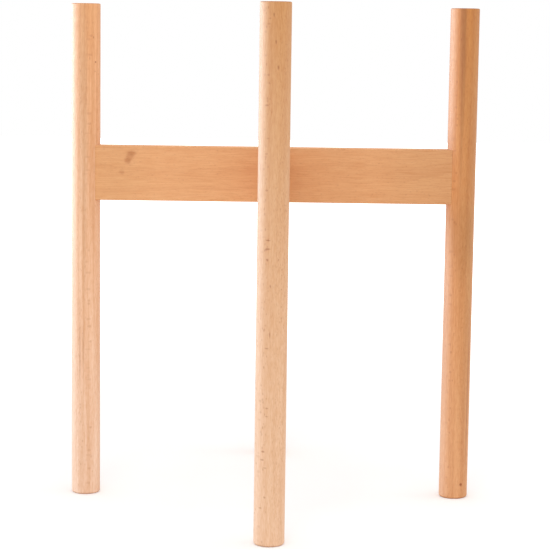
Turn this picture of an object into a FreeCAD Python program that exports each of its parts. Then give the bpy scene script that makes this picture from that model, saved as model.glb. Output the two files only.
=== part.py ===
"""Plant stand of round beech legs and two crossing rails.

Two H-shaped frames make the stand. Each is one rail with a leg dowelled and glued to both of its
ends. The rails are halved into each other at the middle: the slot of the base rail opens upwards,
the slot of the cross rail downwards, so that the cross frame drops into the base frame by hand.
A pot stands on the rails, between the tops of the four legs.

Frame: millimetres, +Z up, the floor at Z = 0, the middle of the stand on the Z axis. The base
rail lies along X and the cross rail along Y.
"""

import FreeCAD, Part
import Sketcher
import os
from enum import IntEnum
from math import atan2, degrees

doc = FreeCAD.newDocument("PlantStand")


# Driving dimensions

SIZES = [
    ("leg_diameter", 25, "round leg"),
    ("leg_length", 430, "leg, floor to top"),
    ("leg_end_chamfer", 1, "chamfer of both ends of a leg"),
    ("pot_space", 302, "clear distance between facing legs"),
    ("seat_height", 308.5, "floor to the top of the rails, where the pot stands"),
    ("rail_height", 47.5, "rail, on edge"),
    ("rail_thickness", 18, "rail, across"),
    ("rail_edge_round", 1, "rounding along the edges of a rail"),
    ("lap_clearance", 0.2, "room on each side of a rail in the other rail's slot"),
    ("glue_gap", 0.1, "glue line between a leg and the scooped end of a rail"),
    ("dowel_diameter", 8, "dowel pin"),
    ("dowel_length", 30, "dowel pin"),
    ("dowel_in_leg", 14, "length of a dowel that is inside the leg"),
    ("dowel_edge_distance", 12, "from the edge of a rail to the middle of the dowel nearest to it"),
    ("dowel_chamfer", 0.8, "chamfer of both ends of a dowel"),
    ("dowel_clearance", 0.05, "room around a dowel in its hole"),
    ("dowel_end_gap", 0.5, "room past each end of a dowel for surplus glue"),
    ("flute_count", 12, "glue flutes around a dowel"),
    ("flute_width", 0.8, "across a flute"),
    ("flute_depth", 0.4, "depth of a flute"),
]

sheet = doc.addObject("Spreadsheet::Sheet", "Sizes")
for row, (alias, value, meaning) in enumerate(SIZES, start=1):
    sheet.set(f"A{row}", str(value))
    sheet.setAlias(f"A{row}", alias)
    sheet.set(f"B{row}", meaning)
doc.recompute()


# Sizes that follow from the driving dimensions

LEG_RADIUS = "Sizes.leg_diameter / 2"
LEG_REACH = "(Sizes.pot_space + Sizes.leg_diameter) / 2"
SCOOP_RADIUS = "Sizes.leg_diameter / 2 + Sizes.glue_gap"
RAIL_BOTTOM = "Sizes.seat_height - Sizes.rail_height"
RAIL_MIDDLE = "Sizes.seat_height - Sizes.rail_height / 2"
SLOT_WIDTH = "Sizes.rail_thickness + 2 * Sizes.lap_clearance"
UPPER_DOWEL = "Sizes.seat_height - Sizes.dowel_edge_distance"
LOWER_DOWEL = f"{RAIL_BOTTOM} + Sizes.dowel_edge_distance"
DOWEL_RADIUS = "Sizes.dowel_diameter / 2"
DOWEL_START = "Sizes.leg_diameter / 2 - Sizes.dowel_in_leg"
HOLE_RADIUS = "Sizes.dowel_diameter / 2 + Sizes.dowel_clearance"
HOLE_IN_LEG = "Sizes.dowel_in_leg + Sizes.dowel_end_gap"
HOLE_FROM_LEG_AXIS = f"{DOWEL_START} + Sizes.dowel_length + Sizes.dowel_end_gap"
FLUTE_BOTTOM = "Sizes.dowel_diameter / 2 - Sizes.flute_depth"

DOWEL_HEIGHTS = {"upper": UPPER_DOWEL, "lower": LOWER_DOWEL}

X_DIRECTION = FreeCAD.Vector(1, 0, 0)
Y_DIRECTION = FreeCAD.Vector(0, 1, 0)
Z_DIRECTION = FreeCAD.Vector(0, 0, 1)

# The way from the middle of the stand to each leg, and the way each rail runs.
SIDES = {
    "left": -X_DIRECTION,
    "right": X_DIRECTION,
    "front": -Y_DIRECTION,
    "rear": Y_DIRECTION,
}
RAILS = {"base_rail": X_DIRECTION, "cross_rail": Y_DIRECTION}


class SketchAxis(IntEnum):
    """How a sketch constraint names the axes of its sketch."""
    HORIZONTAL = -1
    VERTICAL = -2


class SketchPoint(IntEnum):
    """How a sketch constraint names the points of a line or circle."""
    START = 1
    END = 2
    CENTRE = 3


ORIGIN_POINT = (SketchAxis.HORIZONTAL, SketchPoint.START)


# Sketches and features

def number(expression):
    """The present value of an expression on the sizes."""
    return float(sheet.evalExpression(expression))


def origin_feature(body, role):
    """The plane or axis of a body's own origin that has this role."""
    return next(f for f in body.Origin.OriginFeatures if f.Role == role)


def new_sketch(body, name, plane, offset="0"):
    """A sketch on one of the body's origin planes, moved along the plane's normal by offset."""
    sketch = body.newObject("Sketcher::SketchObject", f"{body.Name}_{name}")
    sketch.AttachmentSupport = [(origin_feature(body, plane), "")]
    sketch.MapMode = "FlatFace"
    sketch.setExpression("AttachmentOffset.Base.z", offset)
    return sketch


def dimension(sketch, name, expression, kind, *where):
    """A driving constraint that takes its value from the sizes."""
    index = sketch.addConstraint(Sketcher.Constraint(kind, *where, number(expression)))
    sketch.renameConstraint(index, name)
    sketch.setExpression(f"Constraints.{name}", expression)


def circle_on_axis(sketch, name, axis, distance, radius):
    """A circle whose centre lies on a sketch axis, this distance from the origin."""
    horizontal = axis == SketchAxis.HORIZONTAL
    direction = X_DIRECTION if horizontal else Y_DIRECTION
    kind = "DistanceX" if horizontal else "DistanceY"
    outline = Part.Circle(direction * number(distance), Z_DIRECTION, number(radius))
    circle = sketch.addGeometry(outline)
    middle = (circle, SketchPoint.CENTRE)
    sketch.addConstraint(Sketcher.Constraint("PointOnObject", *middle, axis))
    dimension(sketch, f"{name}_radius", radius, "Radius", circle)
    dimension(sketch, f"{name}_distance", distance, kind, *ORIGIN_POINT, *middle)


def circle_at_origin(sketch, radius):
    """A circle about the sketch's origin."""
    circle = sketch.addGeometry(Part.Circle(FreeCAD.Vector(), Z_DIRECTION, number(radius)))
    middle = (circle, SketchPoint.CENTRE)
    sketch.addConstraint(Sketcher.Constraint("Coincident", *middle, *ORIGIN_POINT))
    dimension(sketch, "radius", radius, "Radius", circle)


def centred_rectangle(sketch, width, bottom, height):
    """A rectangle that is centred on the vertical axis, with its lower side at bottom."""
    half = number(width) / 2
    low = number(bottom)
    high = low + number(height)
    points = ((-half, low), (half, low), (half, high), (-half, high))
    corners = [FreeCAD.Vector(x, y, 0) for x, y in points]
    lines = [Part.LineSegment(corners[i - 1], corners[i]) for i in (1, 2, 3, 0)]
    lower, right, upper, left = [sketch.addGeometry(line) for line in lines]
    start, end = SketchPoint.START, SketchPoint.END
    for side, following in ((lower, right), (right, upper), (upper, left), (left, lower)):
        sketch.addConstraint(Sketcher.Constraint("Coincident", side, end, following, start))
    centred = (lower, start, lower, end, SketchAxis.VERTICAL)
    sketch.addConstraint(Sketcher.Constraint("Symmetric", *centred))
    sketch.addConstraint(Sketcher.Constraint("Vertical", right))
    sketch.addConstraint(Sketcher.Constraint("Horizontal", upper))
    sketch.addConstraint(Sketcher.Constraint("Vertical", left))
    dimension(sketch, "width", width, "DistanceX", lower, start, lower, end)
    dimension(sketch, "bottom", bottom, "DistanceY", *ORIGIN_POINT, lower, start)
    dimension(sketch, "height", height, "DistanceY", right, start, right, end)


def pad(body, sketch, length, side_type="One side"):
    """The body's first solid: the sketch carried along its normal."""
    feature = body.newObject("PartDesign::Pad", f"{sketch.Name}_pad")
    feature.Profile = sketch
    feature.SideType = side_type
    feature.setExpression("Length", length)
    doc.recompute()
    return feature


def pocket(body, sketch, length=None, side_type="One side", along_normal=False):
    """Cuts the sketch out of the body, this deep against its normal, or all the way through."""
    before = body.Shape.Volume
    feature = body.newObject("PartDesign::Pocket", f"{sketch.Name}_cut")
    feature.Profile = sketch
    feature.SideType = side_type
    feature.Reversed = along_normal
    if length is None:
        feature.Type = "ThroughAll"
    else:
        feature.setExpression("Length", length)
    doc.recompute()
    if body.Shape.Volume >= before:
        raise RuntimeError(f"{feature.Name} removes nothing")
    return feature


def dress_edges(body, kind, base, edges, size_property, size):
    """A fillet or chamfer on some edges of the body's last feature."""
    feature = body.newObject(f"PartDesign::{kind}", f"{body.Name}_{kind.lower()}")
    feature.Base = (base, edges)
    feature.setExpression(size_property, size)
    doc.recompute()
    return feature


def round_edge_names(shape):
    """The names of a shape's circular edges."""
    return [
        f"Edge{i}" for i, edge in enumerate(shape.Edges, start=1)
        if isinstance(edge.Curve, Part.Circle)
    ]


def lengthwise_edge_names(shape):
    """The names of a shape's straight edges that run along X."""
    return [
        f"Edge{i}" for i, edge in enumerate(shape.Edges, start=1)
        if isinstance(edge.Curve, Part.Line) and abs(edge.Curve.Direction.x) > 0.5
    ]


def new_body(name, facing):
    """An empty body with its label, turned about Z until its own +X faces this way."""
    body = doc.addObject("PartDesign::Body", name)
    body.Label = name
    turn = FreeCAD.Rotation(Z_DIRECTION, degrees(atan2(facing.y, facing.x)))
    body.Placement = FreeCAD.Placement(FreeCAD.Vector(), turn)
    return body


def place_out(body, side, distance):
    """Puts a body this far out from the middle of the stand, towards one of its sides."""
    body.setExpression("Placement.Base.x", f"{SIDES[side].x} * ({distance})")
    body.setExpression("Placement.Base.y", f"{SIDES[side].y} * ({distance})")


def dowel_holes(body, offset, depth):
    """Two dowel holes, one above the other, drilled against X from the plane at this offset."""
    sketch = new_sketch(body, "dowel_holes", "YZ_Plane", offset)
    for name, height in DOWEL_HEIGHTS.items():
        circle_on_axis(sketch, name, SketchAxis.VERTICAL, height, HOLE_RADIUS)
    return pocket(body, sketch, depth)


# Pieces

def make_leg(side):
    """A round leg. Its own +X faces the rail, and its dowel holes are drilled from there."""
    body = new_body(f"{side}_leg", -SIDES[side])
    section = new_sketch(body, "section", "XY_Plane")
    circle_at_origin(section, LEG_RADIUS)
    blank = pad(body, section, "Sizes.leg_length")
    ends = round_edge_names(blank.Shape)
    dress_edges(body, "Chamfer", blank, ends, "Size", "Sizes.leg_end_chamfer")
    dowel_holes(body, LEG_RADIUS, HOLE_IN_LEG)
    place_out(body, side, LEG_REACH)
    return body


def make_rail(name, slot_bottom):
    """A rail along its own X: rounded edges, a half-depth slot at the middle, and both ends scooped
    to the leg and drilled for dowels."""
    body = new_body(name, RAILS[name])
    face = new_sketch(body, "face", "XZ_Plane")
    centred_rectangle(face, f"2 * {LEG_REACH}", RAIL_BOTTOM, "Sizes.rail_height")
    blank = pad(body, face, "Sizes.rail_thickness", "Symmetric")
    long_edges = lengthwise_edge_names(blank.Shape)
    dress_edges(body, "Fillet", blank, long_edges, "Radius", "Sizes.rail_edge_round")

    slot = new_sketch(body, "slot", "XZ_Plane")
    centred_rectangle(slot, SLOT_WIDTH, slot_bottom, "Sizes.rail_height")
    pocket(body, slot, side_type="Symmetric")

    scoop = new_sketch(body, "scoop", "XY_Plane")
    circle_on_axis(scoop, "leg", SketchAxis.HORIZONTAL, LEG_REACH, SCOOP_RADIUS)
    scoop_cut = pocket(body, scoop, along_normal=True)
    holes = dowel_holes(body, LEG_REACH, HOLE_FROM_LEG_AXIS)

    other_end = body.newObject("PartDesign::Mirrored", f"{name}_other_end")
    other_end.Originals = [scoop_cut, holes]
    other_end.MirrorPlane = (origin_feature(body, "YZ_Plane"), [""])
    body.Tip = other_end
    doc.recompute()
    return body


def make_dowel(side, level):
    """A fluted dowel pin along its own X, from inside the leg into the end of the rail."""
    body = new_body(f"{side}_{level}_dowel", -SIDES[side])
    section = new_sketch(body, "section", "YZ_Plane")
    circle_at_origin(section, DOWEL_RADIUS)
    blank = pad(body, section, "Sizes.dowel_length")
    ends = round_edge_names(blank.Shape)
    dress_edges(body, "Chamfer", blank, ends, "Size", "Sizes.dowel_chamfer")

    groove = new_sketch(body, "flute", "YZ_Plane")
    centred_rectangle(groove, "Sizes.flute_width", FLUTE_BOTTOM, DOWEL_RADIUS)
    flute = pocket(body, groove, along_normal=True)
    flutes = body.newObject("PartDesign::PolarPattern", f"{body.Name}_flutes")
    flutes.Originals = [flute]
    flutes.Axis = (origin_feature(body, "X_Axis"), [""])
    flutes.setExpression("Occurrences", "Sizes.flute_count")
    body.Tip = flutes

    place_out(body, side, f"{LEG_REACH} - ({DOWEL_START})")
    body.setExpression("Placement.Base.z", DOWEL_HEIGHTS[level])
    doc.recompute()
    return body


pieces = [make_leg(side) for side in SIDES]
pieces.append(make_rail("base_rail", RAIL_MIDDLE))
pieces.append(make_rail("cross_rail", f"{RAIL_MIDDLE} - Sizes.rail_height"))
pieces += [make_dowel(side, level) for side in SIDES for level in DOWEL_HEIGHTS]


# Checks and export

doc.recompute()
failed = [o.Name for o in doc.Objects if {"Invalid", "Error"} & set(o.State)]
if failed:
    raise RuntimeError(f"these objects failed: {failed}")
for piece in pieces:
    if piece.Shape.isNull() or not piece.Shape.isValid() or len(piece.Shape.Solids) != 1:
        raise RuntimeError(f"{piece.Label} is not one valid solid")

os.makedirs("parts", exist_ok=True)
for piece in pieces:
    piece.Shape.exportStep(f"parts/{piece.Label}.step")
    box = piece.Shape.optimalBoundingBox(False, False)
    print(
        f"{piece.Label:20} volume {piece.Shape.Volume / 1000:8.2f} cm3"
        f"  x {box.XMin:8.2f} {box.XMax:8.2f}  y {box.YMin:8.2f} {box.YMax:8.2f}"
        f"  z {box.ZMin:7.2f} {box.ZMax:7.2f}"
    )
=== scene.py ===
# %% [markdown]
# # A beech plant stand
# Four round legs and two flat rails carry one flower pot. The rails cross in the middle
# with a halved joint, so the stand comes apart into two frames shaped like an H. This
# lesson loads the stand's solids, turns the legs, gives every piece its own beech wood
# and sets up a small white studio with the camera where the photograph was taken from.

# %% Load the frame
import math
from collections import namedtuple

import bpy
import numpy as np
from mathutils import Matrix, Vector


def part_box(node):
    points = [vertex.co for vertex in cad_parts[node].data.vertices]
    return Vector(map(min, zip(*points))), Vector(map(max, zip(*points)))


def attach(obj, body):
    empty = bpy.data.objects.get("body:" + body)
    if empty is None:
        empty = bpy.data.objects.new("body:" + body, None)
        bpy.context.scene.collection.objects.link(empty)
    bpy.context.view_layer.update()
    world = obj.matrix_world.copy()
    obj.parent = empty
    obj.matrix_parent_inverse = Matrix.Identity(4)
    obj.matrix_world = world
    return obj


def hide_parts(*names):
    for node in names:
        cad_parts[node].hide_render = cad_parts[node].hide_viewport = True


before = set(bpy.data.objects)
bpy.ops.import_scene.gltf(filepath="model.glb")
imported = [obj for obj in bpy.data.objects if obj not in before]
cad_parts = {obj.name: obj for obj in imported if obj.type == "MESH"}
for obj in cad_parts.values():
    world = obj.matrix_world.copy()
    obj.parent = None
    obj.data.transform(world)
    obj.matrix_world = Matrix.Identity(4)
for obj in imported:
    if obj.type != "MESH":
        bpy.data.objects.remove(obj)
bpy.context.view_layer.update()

# %% [markdown]
# ## Sizes
# Everything below follows the solids, so the leg's radius and height and the place of
# each piece are read from their boxes and never typed in again. Blender works in metres,
# while a joiner thinks in millimetres: one constant stands between the two.

# %% Measure the solids
MM = 0.001


def corners(node):
    """Lowest and highest corner of a solid at rest, as vectors in metres."""
    low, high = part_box(node)
    return Vector(low), Vector(high)


def middle(node):
    """The middle of a solid's box, in metres."""
    low, high = corners(node)
    return (low + high) / 2


leg_low, leg_high = corners("left_leg")
LEG_RADIUS = (leg_high.y - leg_low.y) / 2
LEG_HEIGHT = leg_high.z - leg_low.z
rail_low, rail_high = corners("base_rail")
print(f"leg: {2 * LEG_RADIUS / MM:.1f} mm thick, {LEG_HEIGHT / MM:.1f} mm tall")
rail_size = (rail_high - rail_low) / MM
print(f"rail: {rail_size.z:.1f} mm high, {rail_size.y:.1f} mm thick")

# %% [markdown]
# ## The legs
# A leg is a dowel rod sawn to length, with the saw's sharp rim sanded to a small round.
# Blender's cylinder with a bevel would come close. Here the half outline is carried round
# an axis instead, because then the round is a true quarter circle, the wall is as round as
# the render needs, and extra rings can be set where the bores for the dowels go in.

# %% Outline of a leg
TOP_ROUND = 1.0 * MM
FOOT_ROUND = 2.0 * MM
RIM_STEPS = 6
HOLDING_RING = 0.25 * MM
JOINT_RING_STEP = 3.0 * MM


def leg_outline(radius, height, low, high):
    """Half outline of a leg as rows of (distance from the axis, height).

    It starts on the sole, goes round the lower rim, up the wall, round the upper rim and onto
    the top. A rim is a quarter circle: its centre plus its radius times (cosine, sine) of an
    angle that runs through 90 degrees. The wall has rings between low and high, where the rail
    meets it, and one ring close to each rim keeps the flat faces flat when they are shaded.
    """
    angle = np.linspace(-np.pi / 2, 0, RIM_STEPS + 1)
    rim = np.stack([np.cos(angle), np.sin(angle)], axis=1)
    lower = rim * FOOT_ROUND + [radius - FOOT_ROUND, FOOT_ROUND]
    upper = rim[::-1] * [1, -1] * TOP_ROUND + [radius - TOP_ROUND, height - TOP_ROUND]
    sole = [[lower[0, 0] - HOLDING_RING, 0.0]]
    top = [[upper[-1, 0] - HOLDING_RING, height]]
    # These rings start one step below low and end about one step above high.
    joint = np.arange(low - JOINT_RING_STEP, high + 1.5 * JOINT_RING_STEP, JOINT_RING_STEP)
    wall = np.concatenate([[lower[-1, 1] + HOLDING_RING], joint, [upper[0, 1] - HOLDING_RING]])
    wall = np.stack([np.full_like(wall, radius), wall], axis=1)
    return np.concatenate([sole, lower, wall, upper, top])


outline = leg_outline(LEG_RADIUS, LEG_HEIGHT, rail_low.z, rail_high.z)
print("leg outline:", len(outline), "points")

# %% Carry an outline round an axis
LEG_SIDES = 128


def turned(outline, sides):
    """Points and faces of an outline carried round the Z axis.

    Point (i, j) is (r cos a, r sin a, z) with (r, z) row i of the outline and a the j-th of
    equal angles round the circle. The first is half a step, so that no edge of a leg meets an
    edge of a cutter. Quads join neighbours, the last column joins the first, and one face
    closes each end.
    """
    angle = (np.arange(sides) + 0.5) * (2 * np.pi / sides)
    radius, height = outline[:, :1], outline[:, 1:]
    points = np.stack([radius * np.cos(angle), radius * np.sin(angle), height + 0 * angle], axis=-1)
    ring = np.arange(len(outline) - 1)[:, None] * sides
    here = np.arange(sides)[None, :]
    after = (here + 1) % sides
    quads = np.stack([ring + here, ring + after, ring + sides + after, ring + sides + here], axis=-1)
    first = np.arange(sides)[::-1]
    last = np.arange(sides) + (len(outline) - 1) * sides
    return points.reshape(-1, 3), quads.reshape(-1, 4).tolist() + [first.tolist(), last.tolist()]


def mesh_object(name, points, faces):
    """A new object at the origin with its place in its mesh."""
    mesh = bpy.data.meshes.new(name)
    mesh.from_pydata(points.tolist(), [], faces)
    mesh.validate()
    piece = bpy.data.objects.new(name, mesh)
    bpy.context.scene.collection.objects.link(piece)
    return piece


points, faces = turned(outline, LEG_SIDES)
print("one leg:", len(points), "points,", len(faces), "faces")

# %% [markdown]
# ## The dowel bores
# Two dowels hold each leg to its rail, and each sits in a hole drilled into the leg. The
# holes are out of sight while the joint is shut, but without them the dowel would run
# through solid wood. A drill is a Boolean cut in Blender: a round cutter, again an outline
# carried round an axis, is laid along the dowel and taken away from the leg.

# %% Drill a leg
BORE_CLEARANCE = 0.05 * MM
BORE_END_GAP = 0.5 * MM
BORE_SIDES = 48
SMOOTH_BELOW = math.radians(30)


def bore_cutter(dowel, leg_middle):
    """A round cutter along one dowel, from outside the leg to just past the dowel's end in it."""
    low, high = corners(dowel)
    centre = middle(dowel)
    radius = (high.z - low.z) / 2 + BORE_CLEARANCE
    inward = Vector((leg_middle.x - centre.x, leg_middle.y - centre.y, 0)).normalized()
    half = max(high.x - low.x, high.y - low.y) / 2
    points, faces = turned(np.array([[radius, -half], [radius, half + BORE_END_GAP]]), BORE_SIDES)
    lay = np.array(inward.to_track_quat("Z", "Y").to_matrix())
    return mesh_object(dowel + "_cutter", points @ lay.T + np.array(centre), faces)


def drill(leg, cutters):
    """Takes the cutters away from the leg, keeps the cut mesh and removes the cutters."""
    for cutter in cutters:
        cut = leg.modifiers.new(cutter.name, "BOOLEAN")
        cut.operation = "DIFFERENCE"
        cut.solver = "EXACT"
        cut.object = cutter
    whole = leg.data
    leg.data = bpy.data.meshes.new_from_object(leg.evaluated_get(bpy.context.evaluated_depsgraph_get()))
    leg.data.name = leg.name
    leg.modifiers.clear()
    bpy.data.meshes.remove(whole)
    for cutter in cutters:
        bpy.data.meshes.remove(cutter.data)


print(f"bores: {2 * BORE_CLEARANCE / MM:.1f} mm wider than the dowels")

# %% Turn and drill the four legs
LEG_BODIES = {
    "left": "base_frame",
    "right": "base_frame",
    "front": "cross_frame",
    "rear": "cross_frame",
}
legs = {}
for side, body in LEG_BODIES.items():
    node = side + "_leg"
    place = middle(node)
    leg = mesh_object(side + "_round_leg", points + [place.x, place.y, 0], faces)
    dowels = [side + "_upper_dowel", side + "_lower_dowel"]
    drill(leg, [bore_cutter(dowel, place) for dowel in dowels])
    leg.data.shade_smooth()
    leg.data.set_sharp_from_angle(angle=SMOOTH_BELOW)
    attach(leg, body)
    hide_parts(node)
    legs[node] = leg
    print(leg.name, "on", body, "with", len(leg.data.polygons), "faces after drilling")

# %% [markdown]
# ## Colour
# Colours are picked on a screen, so they are written as sRGB hex values. Shaders add
# and multiply light, which only works on linear values, so one function converts them all.

# %% From screen colours to light
def linear(hexcode):
    """Linear RGBA of an sRGB hex colour: each channel through the sRGB curve."""
    screen = np.array([int(hexcode[i:i + 2], 16) for i in (1, 3, 5)]) / 255
    light = np.where(screen <= 0.04045, screen / 12.92, ((screen + 0.055) / 1.055) ** 2.4)
    return (*light.tolist(), 1.0)


print("beech pink in linear light:", [round(v, 3) for v in linear("#e0ad82")])

# %% One node with its settings and links
COLOUR_A, COLOUR_B, COLOUR_OUT = 6, 7, 2


def add(tree, kind, links=None, **settings):
    """Adds a node. settings are its properties; links are its inputs, each a value or a socket."""
    node = tree.nodes.new(kind)
    for name, value in settings.items():
        setattr(node, name, value)
    for name, value in (links or {}).items():
        if isinstance(value, bpy.types.NodeSocket):
            tree.links.new(value, node.inputs[name])
        else:
            node.inputs[name].default_value = value
    return node


print("a Mix node of colours takes them at inputs", COLOUR_A, "and", COLOUR_B)

# %% [markdown]
# ## How beech grows
# A piece of wood is cut out of a tree, so its pattern is a solid one that runs through it.
# The material therefore works in the tree's own directions, in millimetres: X away from the
# heart, Y along a year ring and Z along the grain. A Mapping node turns Object coordinates
# into these, and each piece says where in its tree it was cut.

# %% Tree coordinates
# Directions along the grain and out to the bark; millimetres from the heart and up the tree.
Cut = namedtuple("Cut", "grain bark heart start")


def tree_space(tree, centre, cut):
    """Object coordinates turned to the tree's directions, in millimetres.

    The piece's centre comes to lie cut.heart away from the heart and cut.start along the grain.
    """
    turn = Matrix((cut.bark, cut.grain.cross(cut.bark), cut.grain))
    place = Vector((cut.heart, 0, cut.start)) - turn @ (centre / MM)
    links = {
        "Vector": add(tree, "ShaderNodeTexCoord").outputs["Object"],
        "Location": place,
        "Rotation": turn.to_euler(),
        "Scale": (1 / MM,) * 3,
    }
    return add(tree, "ShaderNodeMapping", links).outputs["Vector"]


def stretched(tree, space, size):
    """Tree space counted in grains of that size in millimetres: outwards, round and lengthwise."""
    links = {0: space, 1: [1 / length for length in size]}
    return add(tree, "ShaderNodeVectorMath", links, operation="MULTIPLY").outputs[0]


print("a piece is cut from its tree by:", ", ".join(Cut._fields))

# %% [markdown]
# ## Year rings, rays and pores
# Beech is a plain, fine wood. Its year rings show as soft lines, its rays as short brown
# dashes where a face lies along the rings, and its pores as a fine lengthwise grain. Each
# could be drawn on the surface, but then it would stop at every edge. Here each is a texture
# in tree space, stretched to its size along the grain, so it runs through the piece. Ray
# dashes are really about 0.3 mm wide and pores 0.1 mm: both are drawn wider, to show in the
# picture.

# %% Grain that sways
SWAY = 3.0
SWAY_SIZE = (40.0, 40.0, 190.0)
SWAY_DETAIL = 3.0
NOISE_MIDDLE = (0.5, 0.5, 0.5)


def swayed(tree, space):
    """Tree space moved sideways by smooth noise, because trees don't grow straight.

    The move is the noise less its middle value, times twice SWAY: at most about SWAY millimetres.
    """
    links = {"Vector": stretched(tree, space, SWAY_SIZE), "Scale": 1.0, "Detail": SWAY_DETAIL}
    noise = add(tree, "ShaderNodeTexNoise", links).outputs["Color"]
    links = {0: noise, 1: NOISE_MIDDLE}
    offset = add(tree, "ShaderNodeVectorMath", links, operation="SUBTRACT").outputs[0]
    links = {0: offset, 1: (2 * SWAY, 2 * SWAY, 0), 2: space}
    return add(tree, "ShaderNodeVectorMath", links, operation="MULTIPLY_ADD").outputs[0]


print(f"the grain sways by up to {SWAY} mm over {SWAY_SIZE[2]} mm of its length")

# %% Year rings
RING_WIDTH = 2.6
RING_UNEVEN = 2.5
RING_UNEVEN_SCALE = 0.35
RING_DETAIL = 1.0
LATE_WOOD_FROM = 0.35


def year_rings(tree, space):
    """0 in early wood, rising to 1 in the late wood that ends each year.

    The years are the distance from the heart divided by RING_WIDTH, pushed to and fro by noise;
    their fraction is how far the year has gone, and late wood begins at LATE_WOOD_FROM of it.
    """
    links = {0: space, 1: (1 / RING_WIDTH, 1 / RING_WIDTH, 0)}
    flat = add(tree, "ShaderNodeVectorMath", links, operation="MULTIPLY").outputs[0]
    years = add(tree, "ShaderNodeVectorMath", {0: flat}, operation="LENGTH").outputs["Value"]
    links = {"W": years, "Scale": RING_UNEVEN_SCALE, "Detail": RING_DETAIL}
    uneven = add(tree, "ShaderNodeTexNoise", links, noise_dimensions="1D").outputs["Fac"]
    links = {0: uneven, 1: RING_UNEVEN, 2: years}
    years = add(tree, "ShaderNodeMath", links, operation="MULTIPLY_ADD").outputs[0]
    season = add(tree, "ShaderNodeMath", {0: years}, operation="FRACT").outputs[0]
    links = {"Value": season, "From Min": LATE_WOOD_FROM, "From Max": 1.0}
    return add(tree, "ShaderNodeMapRange", links, interpolation_type="SMOOTHSTEP").outputs[0]


print(f"year rings: {RING_WIDTH} mm wide on average")

# %% Rays and noise
RAY_EDGE, RAY_CORE = 0.4, 0.15
NOISE_LOW, NOISE_HIGH = 0.3, 0.7


def rays(tree, space, size, rarity):
    """Up to 1 inside a ray, 0 outside.

    Each cell of a Voronoi texture, stretched to that size in millimetres, holds one ray round its
    middle that fades out between RAY_CORE and RAY_EDGE, as shares of a cell. Its strength is a
    random number to the power of rarity, so few are strong.
    """
    cells = add(tree, "ShaderNodeTexVoronoi", {"Vector": stretched(tree, space, size), "Scale": 1.0})
    links = {"Value": cells.outputs["Distance"], "From Min": RAY_EDGE, "From Max": RAY_CORE}
    inside = add(tree, "ShaderNodeMapRange", links, interpolation_type="SMOOTHSTEP").outputs[0]
    chance = add(tree, "ShaderNodeSeparateColor", {0: cells.outputs["Color"]}).outputs[0]
    strength = add(tree, "ShaderNodeMath", {0: chance, 1: rarity}, operation="POWER").outputs[0]
    return add(tree, "ShaderNodeMath", {0: inside, 1: strength}, operation="MULTIPLY").outputs[0]


def grained(tree, space, size, detail):
    """Noise with grains of that size in millimetres, spread to fill the range from 0 to 1."""
    links = {"Vector": stretched(tree, space, size), "Scale": 1.0, "Detail": detail}
    noise = add(tree, "ShaderNodeTexNoise", links).outputs["Fac"]
    links = {"Value": noise, "From Min": NOISE_LOW, "From Max": NOISE_HIGH}
    return add(tree, "ShaderNodeMapRange", links).outputs[0]


print("rays and grains take their sizes in millimetres: outwards, round the tree and along the grain")

# %% [markdown]
# ## Beech, sanded and oiled
# The stand is planed and sanded beech under a thin matt oil. The oil keeps the warm pink of
# the wood and adds a broad, soft sheen at flat angles. An IOR of 1.5 and a roughness a little
# over one half are typical for it, and the oil is a thin coat on top. A colour ramp over one
# noise would give one brown. Tinting a base colour layer by layer, like washes of ink, keeps
# every part of the wood in its own place and strength.

# %% A wash of colour
def tinted(tree, amount, colour, tint, strength=1.0):
    """The colour multiplied by the tint.

    The tint is full where amount times strength is 1 and leaves the colour alone where it is 0.
    """
    share = add(tree, "ShaderNodeMath", {0: amount, 1: strength}, operation="MULTIPLY").outputs[0]
    links = {0: share, COLOUR_A: colour, COLOUR_B: linear(tint)}
    return add(tree, "ShaderNodeMix", links, data_type="RGBA", blend_type="MULTIPLY").outputs[COLOUR_OUT]


print("a wash is two nodes: Math for its share of the tint, and Mix to multiply")

# %% Marks in the wood
# The place and the half sizes are in millimetres, the tilt in degrees, the strength from 0 to 1.
Mark = namedtuple("Mark", "place size tilt strength tint")
STAIN = "#c08c30"
KNOT = "#b98a5c"
# Heartwood's browner tone; the same tint also darkens the patches of painted shade.
HEARTWOOD_AND_SHADE = "#c8c6a8"
BROWN_STREAK = "#a8905c"
GREY_BAND = "#c8c6c0"
MARK_RAGGED = 0.8
MARK_RAGGED_SCALE = 1.5
MARK_RAGGED_DETAIL = 3.0
MARK_CORE = 0.6


def marked(tree, colour, mark):
    """The colour tinted inside one ragged egg shape: a stain, a streak, a band, a pin knot or a patch of
    painted shade.

    A Mapping node in Texture mode makes the egg a ball of radius 1. The distance from its middle,
    roughened by noise, fades the tint out from MARK_CORE on.
    """
    links = {
        "Vector": add(tree, "ShaderNodeTexCoord").outputs["Object"],
        "Location": Vector(mark.place) * MM,
        "Rotation": (0, math.radians(mark.tilt), 0),
        "Scale": Vector(mark.size) * MM,
    }
    ball = add(tree, "ShaderNodeMapping", links, vector_type="TEXTURE").outputs["Vector"]
    distance = add(tree, "ShaderNodeVectorMath", {0: ball}, operation="LENGTH").outputs["Value"]
    links = {"Vector": ball, "Scale": MARK_RAGGED_SCALE, "Detail": MARK_RAGGED_DETAIL}
    noise = add(tree, "ShaderNodeTexNoise", links).outputs["Fac"]
    links = {0: noise, 1: MARK_RAGGED, 2: distance}
    ragged = add(tree, "ShaderNodeMath", links, operation="MULTIPLY_ADD").outputs[0]
    links = {"Value": ragged, "From Min": 1.0 + MARK_RAGGED / 2, "From Max": MARK_CORE}
    amount = add(tree, "ShaderNodeMapRange", links, interpolation_type="SMOOTHSTEP").outputs[0]
    return tinted(tree, amount, colour, mark.tint, mark.strength)


print("a mark has:", ", ".join(Mark._fields))

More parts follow.
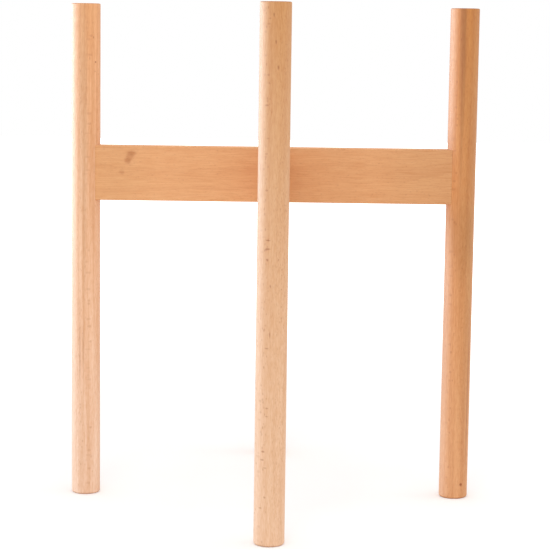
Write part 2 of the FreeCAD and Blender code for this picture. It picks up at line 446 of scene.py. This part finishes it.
# %% The layers of colour
STREAK_SIZE = (4.5, 4.5, 150.0)
STREAK_DETAIL = 4.0
STREAK_TINT = "#e2c7a6"
LATE_TINT = "#e2c7a6"
# Pores and fine rays are drawn wider than real ones, so that they show in the picture.
PORE_WIDTH = 0.75
PORE_DETAIL = 2.0
PORE_TINT = "#f4e8da"
FINE_RAY_SIZE = (9.0, 0.8, 4.0)
FINE_RAY_RARITY = 1.5
BOLD_RAY_SIZE = (10.0, 2.2, 2.8)
BOLD_RAY_RARITY = 14.0
RAY_TINT = "#c09268"
# Tones at both ends; strengths of streaks, late wood and rays; the pores' length in millimetres.
Wood = namedtuple("Wood", "head foot streak late pore fine bold marks")


def pore_lines(tree, space, wood):
    """Fine noise drawn out along the grain to the length of the wood's pore lines."""
    return grained(tree, space, (PORE_WIDTH, PORE_WIDTH, wood.pore), PORE_DETAIL)


def grain_colour(tree, space, cut, half, wood):
    """Base colour: a slow drift from foot to head, tinted by streaks, rings, pores, rays and marks."""
    # The drift is partly the wood's own tone and partly painted light: paler feet stand for bounce light
    # off the white floor, and the front rail's lighter left end for light from the left.
    along = add(tree, "ShaderNodeSeparateXYZ", {0: space}).outputs["Z"]
    links = {"Value": along, "From Min": cut.start - half / MM, "From Max": cut.start + half / MM}
    drift = add(tree, "ShaderNodeMapRange", links).outputs[0]
    links = {0: drift, COLOUR_A: linear(wood.foot), COLOUR_B: linear(wood.head)}
    colour = add(tree, "ShaderNodeMix", links, data_type="RGBA").outputs[COLOUR_OUT]
    streaks = grained(tree, space, STREAK_SIZE, STREAK_DETAIL)
    colour = tinted(tree, streaks, colour, STREAK_TINT, wood.streak)
    colour = tinted(tree, year_rings(tree, space), colour, LATE_TINT, wood.late)
    colour = tinted(tree, pore_lines(tree, space, wood), colour, PORE_TINT)
    colour = tinted(tree, rays(tree, space, FINE_RAY_SIZE, FINE_RAY_RARITY), colour, RAY_TINT, wood.fine)
    colour = tinted(tree, rays(tree, space, BOLD_RAY_SIZE, BOLD_RAY_RARITY), colour, RAY_TINT, wood.bold)
    for mark in wood.marks:
        colour = marked(tree, colour, mark)
    return colour


print("a piece of wood has:", ", ".join(Wood._fields))

# %% [markdown]
# ## End grain
# Where a piece is sawn across, its cut pores drink the oil. The sawn end turns browner and
# duller than the sides and shows the year rings. It could have a material of its own, but then
# the change would follow the faces. Here it follows how far the surface turns towards the
# grain, so it comes on over the rounded rim as it does on the real leg.

# %% Sawn ends
END_TINT = "#d2ac84"
END_ROUGHNESS = 0.95
END_EARLY_WOOD = 0.6
END_FROM, END_FULL = 0.35, 0.9


def end_grain(tree, cut):
    """0 on the sides of a piece, rising to 1 where the surface faces along the grain.

    How far it faces that way is the size of the dot product of its normal and the grain.
    """
    normal = add(tree, "ShaderNodeTexCoord").outputs["Normal"]
    links = {0: normal, 1: cut.grain}
    facing = add(tree, "ShaderNodeVectorMath", links, operation="DOT_PRODUCT").outputs["Value"]
    facing = add(tree, "ShaderNodeMath", {0: facing}, operation="ABSOLUTE").outputs[0]
    links = {"Value": facing, "From Min": END_FROM, "From Max": END_FULL}
    return add(tree, "ShaderNodeMapRange", links).outputs[0]


print("sawn ends: tint", END_TINT, "and roughness", END_ROUGHNESS)

# %% The beech material
WOOD_IOR = 1.5
WOOD_ROUGHNESS = (0.58, 0.68)
OIL_COAT = 0.25
OIL_ROUGHNESS = 0.6
GRAIN_DEPTH = 0.08 * MM
GRAIN_STRENGTH = 0.3


def half_length(node, grain):
    """Half the length of a solid along its grain, in metres."""
    low, high = corners(node)
    return abs((high - low).dot(grain)) / 2


# Oiled beech gives the eye a warm pink brown with fine lines along the grain, and a soft
# pale sheen where it is seen at a flat angle. Bare beech is the same without the oil's coat.
def sanded_beech(name, node, cut, wood, oil=OIL_COAT):
    """Sanded beech for one solid, cut so from its tree, with a coat of oil."""
    material = bpy.data.materials.new(name)
    material.use_nodes = True
    tree = material.node_tree
    shader = tree.nodes["Principled BSDF"]
    space = swayed(tree, tree_space(tree, middle(node), cut))
    colour = grain_colour(tree, space, cut, half_length(node, cut.grain), wood)
    sawn = end_grain(tree, cut)
    links = {"Value": year_rings(tree, space), "To Min": END_EARLY_WOOD, "To Max": 1.0}
    soaked = add(tree, "ShaderNodeMapRange", links).outputs[0]
    tree.links.new(tinted(tree, sawn, colour, END_TINT, soaked), shader.inputs["Base Color"])
    pores = pore_lines(tree, space, wood)
    links = {"Value": pores, "To Min": WOOD_ROUGHNESS[0], "To Max": WOOD_ROUGHNESS[1]}
    rough = add(tree, "ShaderNodeMapRange", links).outputs[0]
    rough = add(tree, "ShaderNodeMix", {0: sawn, 2: rough, 3: END_ROUGHNESS}).outputs[0]
    tree.links.new(rough, shader.inputs["Roughness"])
    links = {"Height": pores, "Strength": GRAIN_STRENGTH, "Distance": GRAIN_DEPTH}
    bump = add(tree, "ShaderNodeBump", links)
    tree.links.new(bump.outputs["Normal"], shader.inputs["Normal"])
    shader.inputs["IOR"].default_value = WOOD_IOR
    shader.inputs["Coat Weight"].default_value = oil
    shader.inputs["Coat Roughness"].default_value = OIL_ROUGHNESS
    return material


print("oil coat:", OIL_COAT, "with roughness", OIL_ROUGHNESS)

# %% [markdown]
# ## The legs' wood
# No two pieces of the stand match. The left leg is cut across the rings and shows them as
# lengthwise stripes, with a greyer band left of its middle. The front leg is cut along them
# and shows short dashes. The right leg is pale on its left and browner on its right, with a
# dark streak at its top, a band of painted shade just below the rail and a pin knot near its
# foot. Each leg is paler towards its foot, partly its own tone and partly painted bounce light
# from the white floor. Rings, pores and rays come from the textures above. The few marks that
# catch the eye are placed one by one, because no random pattern would put a knot just there.

# %% Dress the legs
UP = Vector((0, 0, 1))


def bearing(degrees):
    """A level direction: 0 points to the right, 90 to the back."""
    angle = math.radians(degrees)
    return Vector((math.cos(angle), math.sin(angle), 0))


LEFT_MARKS = [
    Mark((-164.4, -12, 330), (5.5, 9, 190), 0, 0.33, GREY_BAND),
    Mark((-154.4, -8.5, 380), (0.9, 2.0, 0.9), 0, 1.0, KNOT),
    Mark((-155.9, -9.9, 401), (0.6, 2.0, 1.6), 0, 0.6, KNOT),
    Mark((-159.0, -11.7, 383), (0.5, 2.0, 2.5), 0, 0.5, KNOT),
    Mark((-154.8, -8.9, 372), (0.6, 2.0, 1.0), 0, 0.4, KNOT),
    Mark((-167.6, -11.8, 124), (1.2, 2.0, 45.0), 0, 0.3, KNOT),
    Mark((-164.6, -12.5, 127), (1.1, 2.0, 40.0), 0, 0.25, KNOT),
]
FRONT_MARKS = [
    Mark((-1.4, -175.9, 419.6), (1.0, 2.0, 2.5), 0, 0.5, KNOT),
    Mark((0.5, -176.0, 399.0), (1.0, 2.0, 2.5), 0, 0.6, KNOT),
    Mark((2.5, -175.8, 379.5), (1.0, 2.0, 2.5), 0, 0.6, KNOT),
    Mark((-3.9, -175.4, 245.6), (3.2, 2.0, 0.9), 0, 0.65, KNOT),
    Mark((-3.9, -175.4, 238.9), (3.2, 2.0, 0.9), 0, 0.65, KNOT),
    Mark((-4.2, -175.3, 230.2), (1.5, 2.0, 1.6), 0, 0.65, KNOT),
    Mark((-1.5, -175.9, 209.5), (0.9, 2.0, 2.0), 0, 0.5, KNOT),
    Mark((-1.6, -175.9, 171.0), (1.0, 2.0, 3.5), 0, 0.5, KNOT),
    Mark((-3.9, -175.4, 160.3), (2.5, 2.0, 0.9), 0, 0.5, KNOT),
    Mark((-3.1, -175.6, 112.5), (1.8, 2.0, 1.0), 0, 0.5, KNOT),
    Mark((-3.1, -175.6, 106.0), (1.8, 2.0, 0.9), 0, 0.4, KNOT),
    Mark((-4.0, -175.3, 64.5), (2.4, 2.0, 0.8), 0, 0.4, KNOT),
    Mark((-4.0, -175.3, 40.6), (1.6, 2.0, 1.3), 0, 0.45, KNOT),
]
RIGHT_MARKS = [
    Mark((171.0, -6.0, 330), (14.0, 20.0, 400.0), 0, 0.55, HEARTWOOD_AND_SHADE),
    Mark((161.2, -12.3, 400), (4.4, 8.0, 150.0), 0, 0.5, BROWN_STREAK),
    # Painted shade: the band just below the rail, where the rail shades the right leg.
    Mark((163.5, -12.0, 230), (20.0, 20.0, 50.0), 0, 0.3, HEARTWOOD_AND_SHADE),
    Mark((173.2, -7.8, 90), (0.9, 3.0, 110.0), 0, 0.4, KNOT),
    Mark((169.2, -11.0, 12.9), (1.7, 2.0, 2.1), 0, 1.0, KNOT),
]
LEG_CUTS = {
    "left_leg": Cut(UP, bearing(15), 60, 0),
    "front_leg": Cut(UP, bearing(-50), 75, 500),
    "right_leg": Cut(UP, bearing(-40), 50, 1000),
    "rear_leg": Cut(UP, bearing(60), 65, 1500),
}
# Each paler foot tone is partly painted bounce light from the white floor.
LEG_WOODS = {
    "left_leg": Wood("#f1ba88", "#fad8c0", 0.8, 0.15, 6, 0.3, 0.2, LEFT_MARKS),
    "front_leg": Wood("#d09960", "#f2ccac", 0.3, 0.12, 6, 0.4, 0.6, FRONT_MARKS),
    "right_leg": Wood("#da9248", "#e7ad7b", 0.5, 0.2, 6, 0.3, 0.2, RIGHT_MARKS),
    "rear_leg": Wood("#e0ab78", "#f0c8a6", 0.35, 0.2, 6, 0.3, 0.6, []),
}
for node, cut in LEG_CUTS.items():
    material = sanded_beech("oiled_beech_" + node, node, cut, LEG_WOODS[node])
    legs[node].data.materials.clear()
    legs[node].data.materials.append(material)
    print(node, "is dressed in", material.name)

# %% [markdown]
# ## The rails' wood
# A rail is a flat board sawn along the rings, so its broad face shows long fine lines. The
# rail in front has a brown mineral stain near its left end, and painted shade darkens it a
# little towards both ends. Both are marks like those of the legs, laid on the rail's front face.

# %% Dress the rails
ALONG_X = Vector((1, 0, 0))
ALONG_Y = Vector((0, 1, 0))
STAINS_AND_END_SHADE = [
    Mark((-123.0, -9, 302.0), (5.8, 4.0, 3.6), 0, 0.5, STAIN),
    Mark((-124.8, -9, 298.6), (5.0, 4.0, 5.0), 20, 0.35, STAIN),
    Mark((-126.6, -9, 295.4), (4.2, 4.0, 4.4), 0, 0.45, STAIN),
    Mark((-131.8, -9, 285.6), (3.6, 4.0, 3.0), 0, 0.3, STAIN),
    # Painted shade: the front rail darkened a little towards both ends.
    Mark((-150.0, -9, 285.0), (60.0, 20.0, 80.0), 0, 0.18, HEARTWOOD_AND_SHADE),
    Mark((150.0, -9, 285.0), (75.0, 20.0, 80.0), 0, 0.2, HEARTWOOD_AND_SHADE),
]
RAIL_CUTS = {
    "base_rail": Cut(ALONG_X, -ALONG_Y, 70, 2000),
    "cross_rail": Cut(ALONG_Y, ALONG_X, 80, 2500),
}
# The base rail's lighter left end, its foot tone, is partly painted light from the left.
RAIL_WOODS = {
    "base_rail": Wood("#e0a570", "#eaaf79", 0.15, 0.15, 16, 0.2, 0.2, STAINS_AND_END_SHADE),
    "cross_rail": Wood("#e6a970", "#e6a970", 0.15, 0.15, 16, 0.2, 0.2, []),
}
for node, cut in RAIL_CUTS.items():
    material = sanded_beech("oiled_beech_" + node, node, cut, RAIL_WOODS[node])
    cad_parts[node].material_slots[0].material = material
    print(node, "is dressed in", material.name)

# %% [markdown]
# ## The dowels' wood
# The dowels are bare beech rod, glued in, and never see the oil. They are hidden in the
# joints, but a part in a library may be looked at piece by piece, so they get the same wood
# with plainer tones and no coat.

# %% Dress the dowels
DOWEL_WOOD = Wood("#e4bd98", "#e4bd98", 0.3, 0.4, 8, 0.3, 0.3, [])
DOWEL_GRAIN = {"left": ALONG_X, "right": ALONG_X, "front": ALONG_Y, "rear": ALONG_Y}
DOWEL_HEART, DOWEL_START = 40, 3000
for node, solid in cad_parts.items():
    if node.endswith("_dowel"):
        cut = Cut(DOWEL_GRAIN[node.split("_")[0]], UP, DOWEL_HEART, DOWEL_START)
        material = sanded_beech("bare_beech_" + node, node, cut, DOWEL_WOOD, oil=0.0)
        solid.material_slots[0].material = material
        print(node, "is dressed in", material.name)

# %% [markdown]
# ## The studio
# The stand is lit as for a shop picture: white card all round, and weak soft lamps overhead,
# in front and on the right. A wide window on the left, a little behind the stand, draws the
# pale sheen along the left of each leg. Such a window would also light that side far too
# much, which a photographer holds back with more card. Here the window simply isn't seen by
# diffuse light, only by gloss. The levels are such that a colour looks as it is written.

# %% Lamps
def soft_lamp(name, place, target, size, watts):
    """A rectangular area lamp at place, in metres, turned to the target."""
    lamp = bpy.data.lights.new(name, "AREA")
    lamp.shape = "RECTANGLE"
    lamp.size, lamp.size_y = size
    lamp.energy = watts
    holder = bpy.data.objects.new(name, lamp)
    holder.location = place
    holder.rotation_euler = (Vector(target) - Vector(place)).to_track_quat("-Z", "Y").to_euler()
    bpy.context.scene.collection.objects.link(holder)
    return holder


LAMP_TARGET = (0, 0, 0.2)
soft_lamp("top_lamp", (0.0, -0.15, 1.9), LAMP_TARGET, (1.0, 1.0), 5)
soft_lamp("front_lamp", (-0.25, -1.65, 0.9), LAMP_TARGET, (0.9, 0.9), 6)
soft_lamp("right_lamp", (1.8, 0.1, 0.5), LAMP_TARGET, (1.2, 1.2), 5)
window = soft_lamp("window", (-2.4, 0.6, 0.62), LAMP_TARGET, (4.0, 1.24), 240)
window.visible_diffuse = False
print("lamps:", [lamp.name for lamp in bpy.data.lights])

# %% White surroundings
AMBIENT = 0.81
world = bpy.data.worlds.new("white_room")
bpy.context.scene.world = world
world.use_nodes = True


def seen_white(tree):
    """1 for rays that come from the camera, straight or by way of gloss or glass, else 0."""
    path = add(tree, "ShaderNodeLightPath").outputs
    links = {0: path["Is Camera Ray"], 1: path["Is Glossy Ray"]}
    seen = add(tree, "ShaderNodeMath", links, operation="MAXIMUM").outputs[0]
    links = {0: seen, 1: path["Is Transmission Ray"]}
    return add(tree, "ShaderNodeMath", links, operation="MAXIMUM").outputs[0]


background = world.node_tree.nodes["Background"]
background.inputs["Color"].default_value = (1, 1, 1, 1)
links = {"Value": seen_white(world.node_tree), "To Min": AMBIENT, "To Max": 1.0}
level = add(world.node_tree, "ShaderNodeMapRange", links).outputs[0]
world.node_tree.links.new(level, background.inputs["Strength"])
print("light from all round:", AMBIENT)

# %% [markdown]
# ## The floor
# The floor is white paper. Near the stand the lamps and the room make it nearly white and a
# faint glow does the rest, so the stand's soft shadow still shows on it. Further off the lamps
# reach it less, and there a stronger glow keeps it as white as the room behind it. Only the
# camera and the gloss of the wood see the glow: it lights nothing.

# %% Floor
FLOOR_HALF = 6.0
GLOW_START, GLOW_END = 0.3, 1.5
GLOW_NEAR, GLOW_FAR = 0.15, 1.0
PAPER_WHITE = "#f4f4f4"
PAPER_ROUGHNESS = 0.9
corner = np.array([[-1, -1, 0], [1, -1, 0], [1, 1, 0], [-1, 1, 0]]) * FLOOR_HALF
floor = mesh_object("floor", corner, [[0, 1, 2, 3]])
# White paper gives the eye an even ground without gloss, on which only the shadow shows.
paper = bpy.data.materials.new("white_paper")
paper.use_nodes = True
tree = paper.node_tree
shader = tree.nodes["Principled BSDF"]
shader.inputs["Base Color"].default_value = linear(PAPER_WHITE)
shader.inputs["Roughness"].default_value = PAPER_ROUGHNESS
shader.inputs["Specular IOR Level"].default_value = 0.0
shader.inputs["Emission Color"].default_value = (1, 1, 1, 1)
where = add(tree, "ShaderNodeTexCoord").outputs["Object"]
distance = add(tree, "ShaderNodeVectorMath", {0: where}, operation="LENGTH").outputs["Value"]
links = {
    "Value": distance,
    "From Min": GLOW_START,
    "From Max": GLOW_END,
    "To Min": GLOW_NEAR,
    "To Max": GLOW_FAR,
}
glow = add(tree, "ShaderNodeMapRange", links, interpolation_type="SMOOTHSTEP").outputs[0]
glow = add(tree, "ShaderNodeMath", {0: glow, 1: seen_white(tree)}, operation="MULTIPLY").outputs[0]
tree.links.new(glow, shader.inputs["Emission Strength"])
floor.data.materials.append(paper)
print("floor:", 2 * FLOOR_HALF, "m square")

# %% [markdown]
# ## The camera
# The camera stands in front of the stand, a little below the tops of the legs, and looks
# slightly down. Its place and angles come from the leg and rail edges in the photograph.

# %% Camera
CAMERA_PLACE = Vector((-1.4, -1576.6, 397.0)) * MM
CAMERA_YAW = math.radians(0.14)
CAMERA_PITCH = math.radians(-7.255)
CAMERA_ROLL = math.radians(0.78)
FOCAL_PIXELS = 1809.9
IMAGE_PIXELS = 550
SENSOR_WIDTH = 36.0

ahead = Vector((
    math.sin(CAMERA_YAW) * math.cos(CAMERA_PITCH),
    math.cos(CAMERA_YAW) * math.cos(CAMERA_PITCH),
    math.sin(CAMERA_PITCH),
))
sideways = Vector((math.cos(CAMERA_YAW), -math.sin(CAMERA_YAW), 0))
across = sideways * math.cos(CAMERA_ROLL) + sideways.cross(ahead) * math.sin(CAMERA_ROLL)
axes = Matrix((across, (-ahead).cross(across), -ahead)).transposed()
lens = bpy.data.cameras.new("camera")
lens.sensor_width = SENSOR_WIDTH
lens.lens = FOCAL_PIXELS / IMAGE_PIXELS * SENSOR_WIDTH
camera = bpy.data.objects.new("camera", lens)
camera.matrix_world = Matrix.LocRotScale(CAMERA_PLACE, axes.to_quaternion(), None)
bpy.context.scene.collection.objects.link(camera)
bpy.context.scene.camera = camera
bpy.context.scene.view_settings.view_transform = "Standard"
print(f"lens: {lens.lens:.1f} mm")
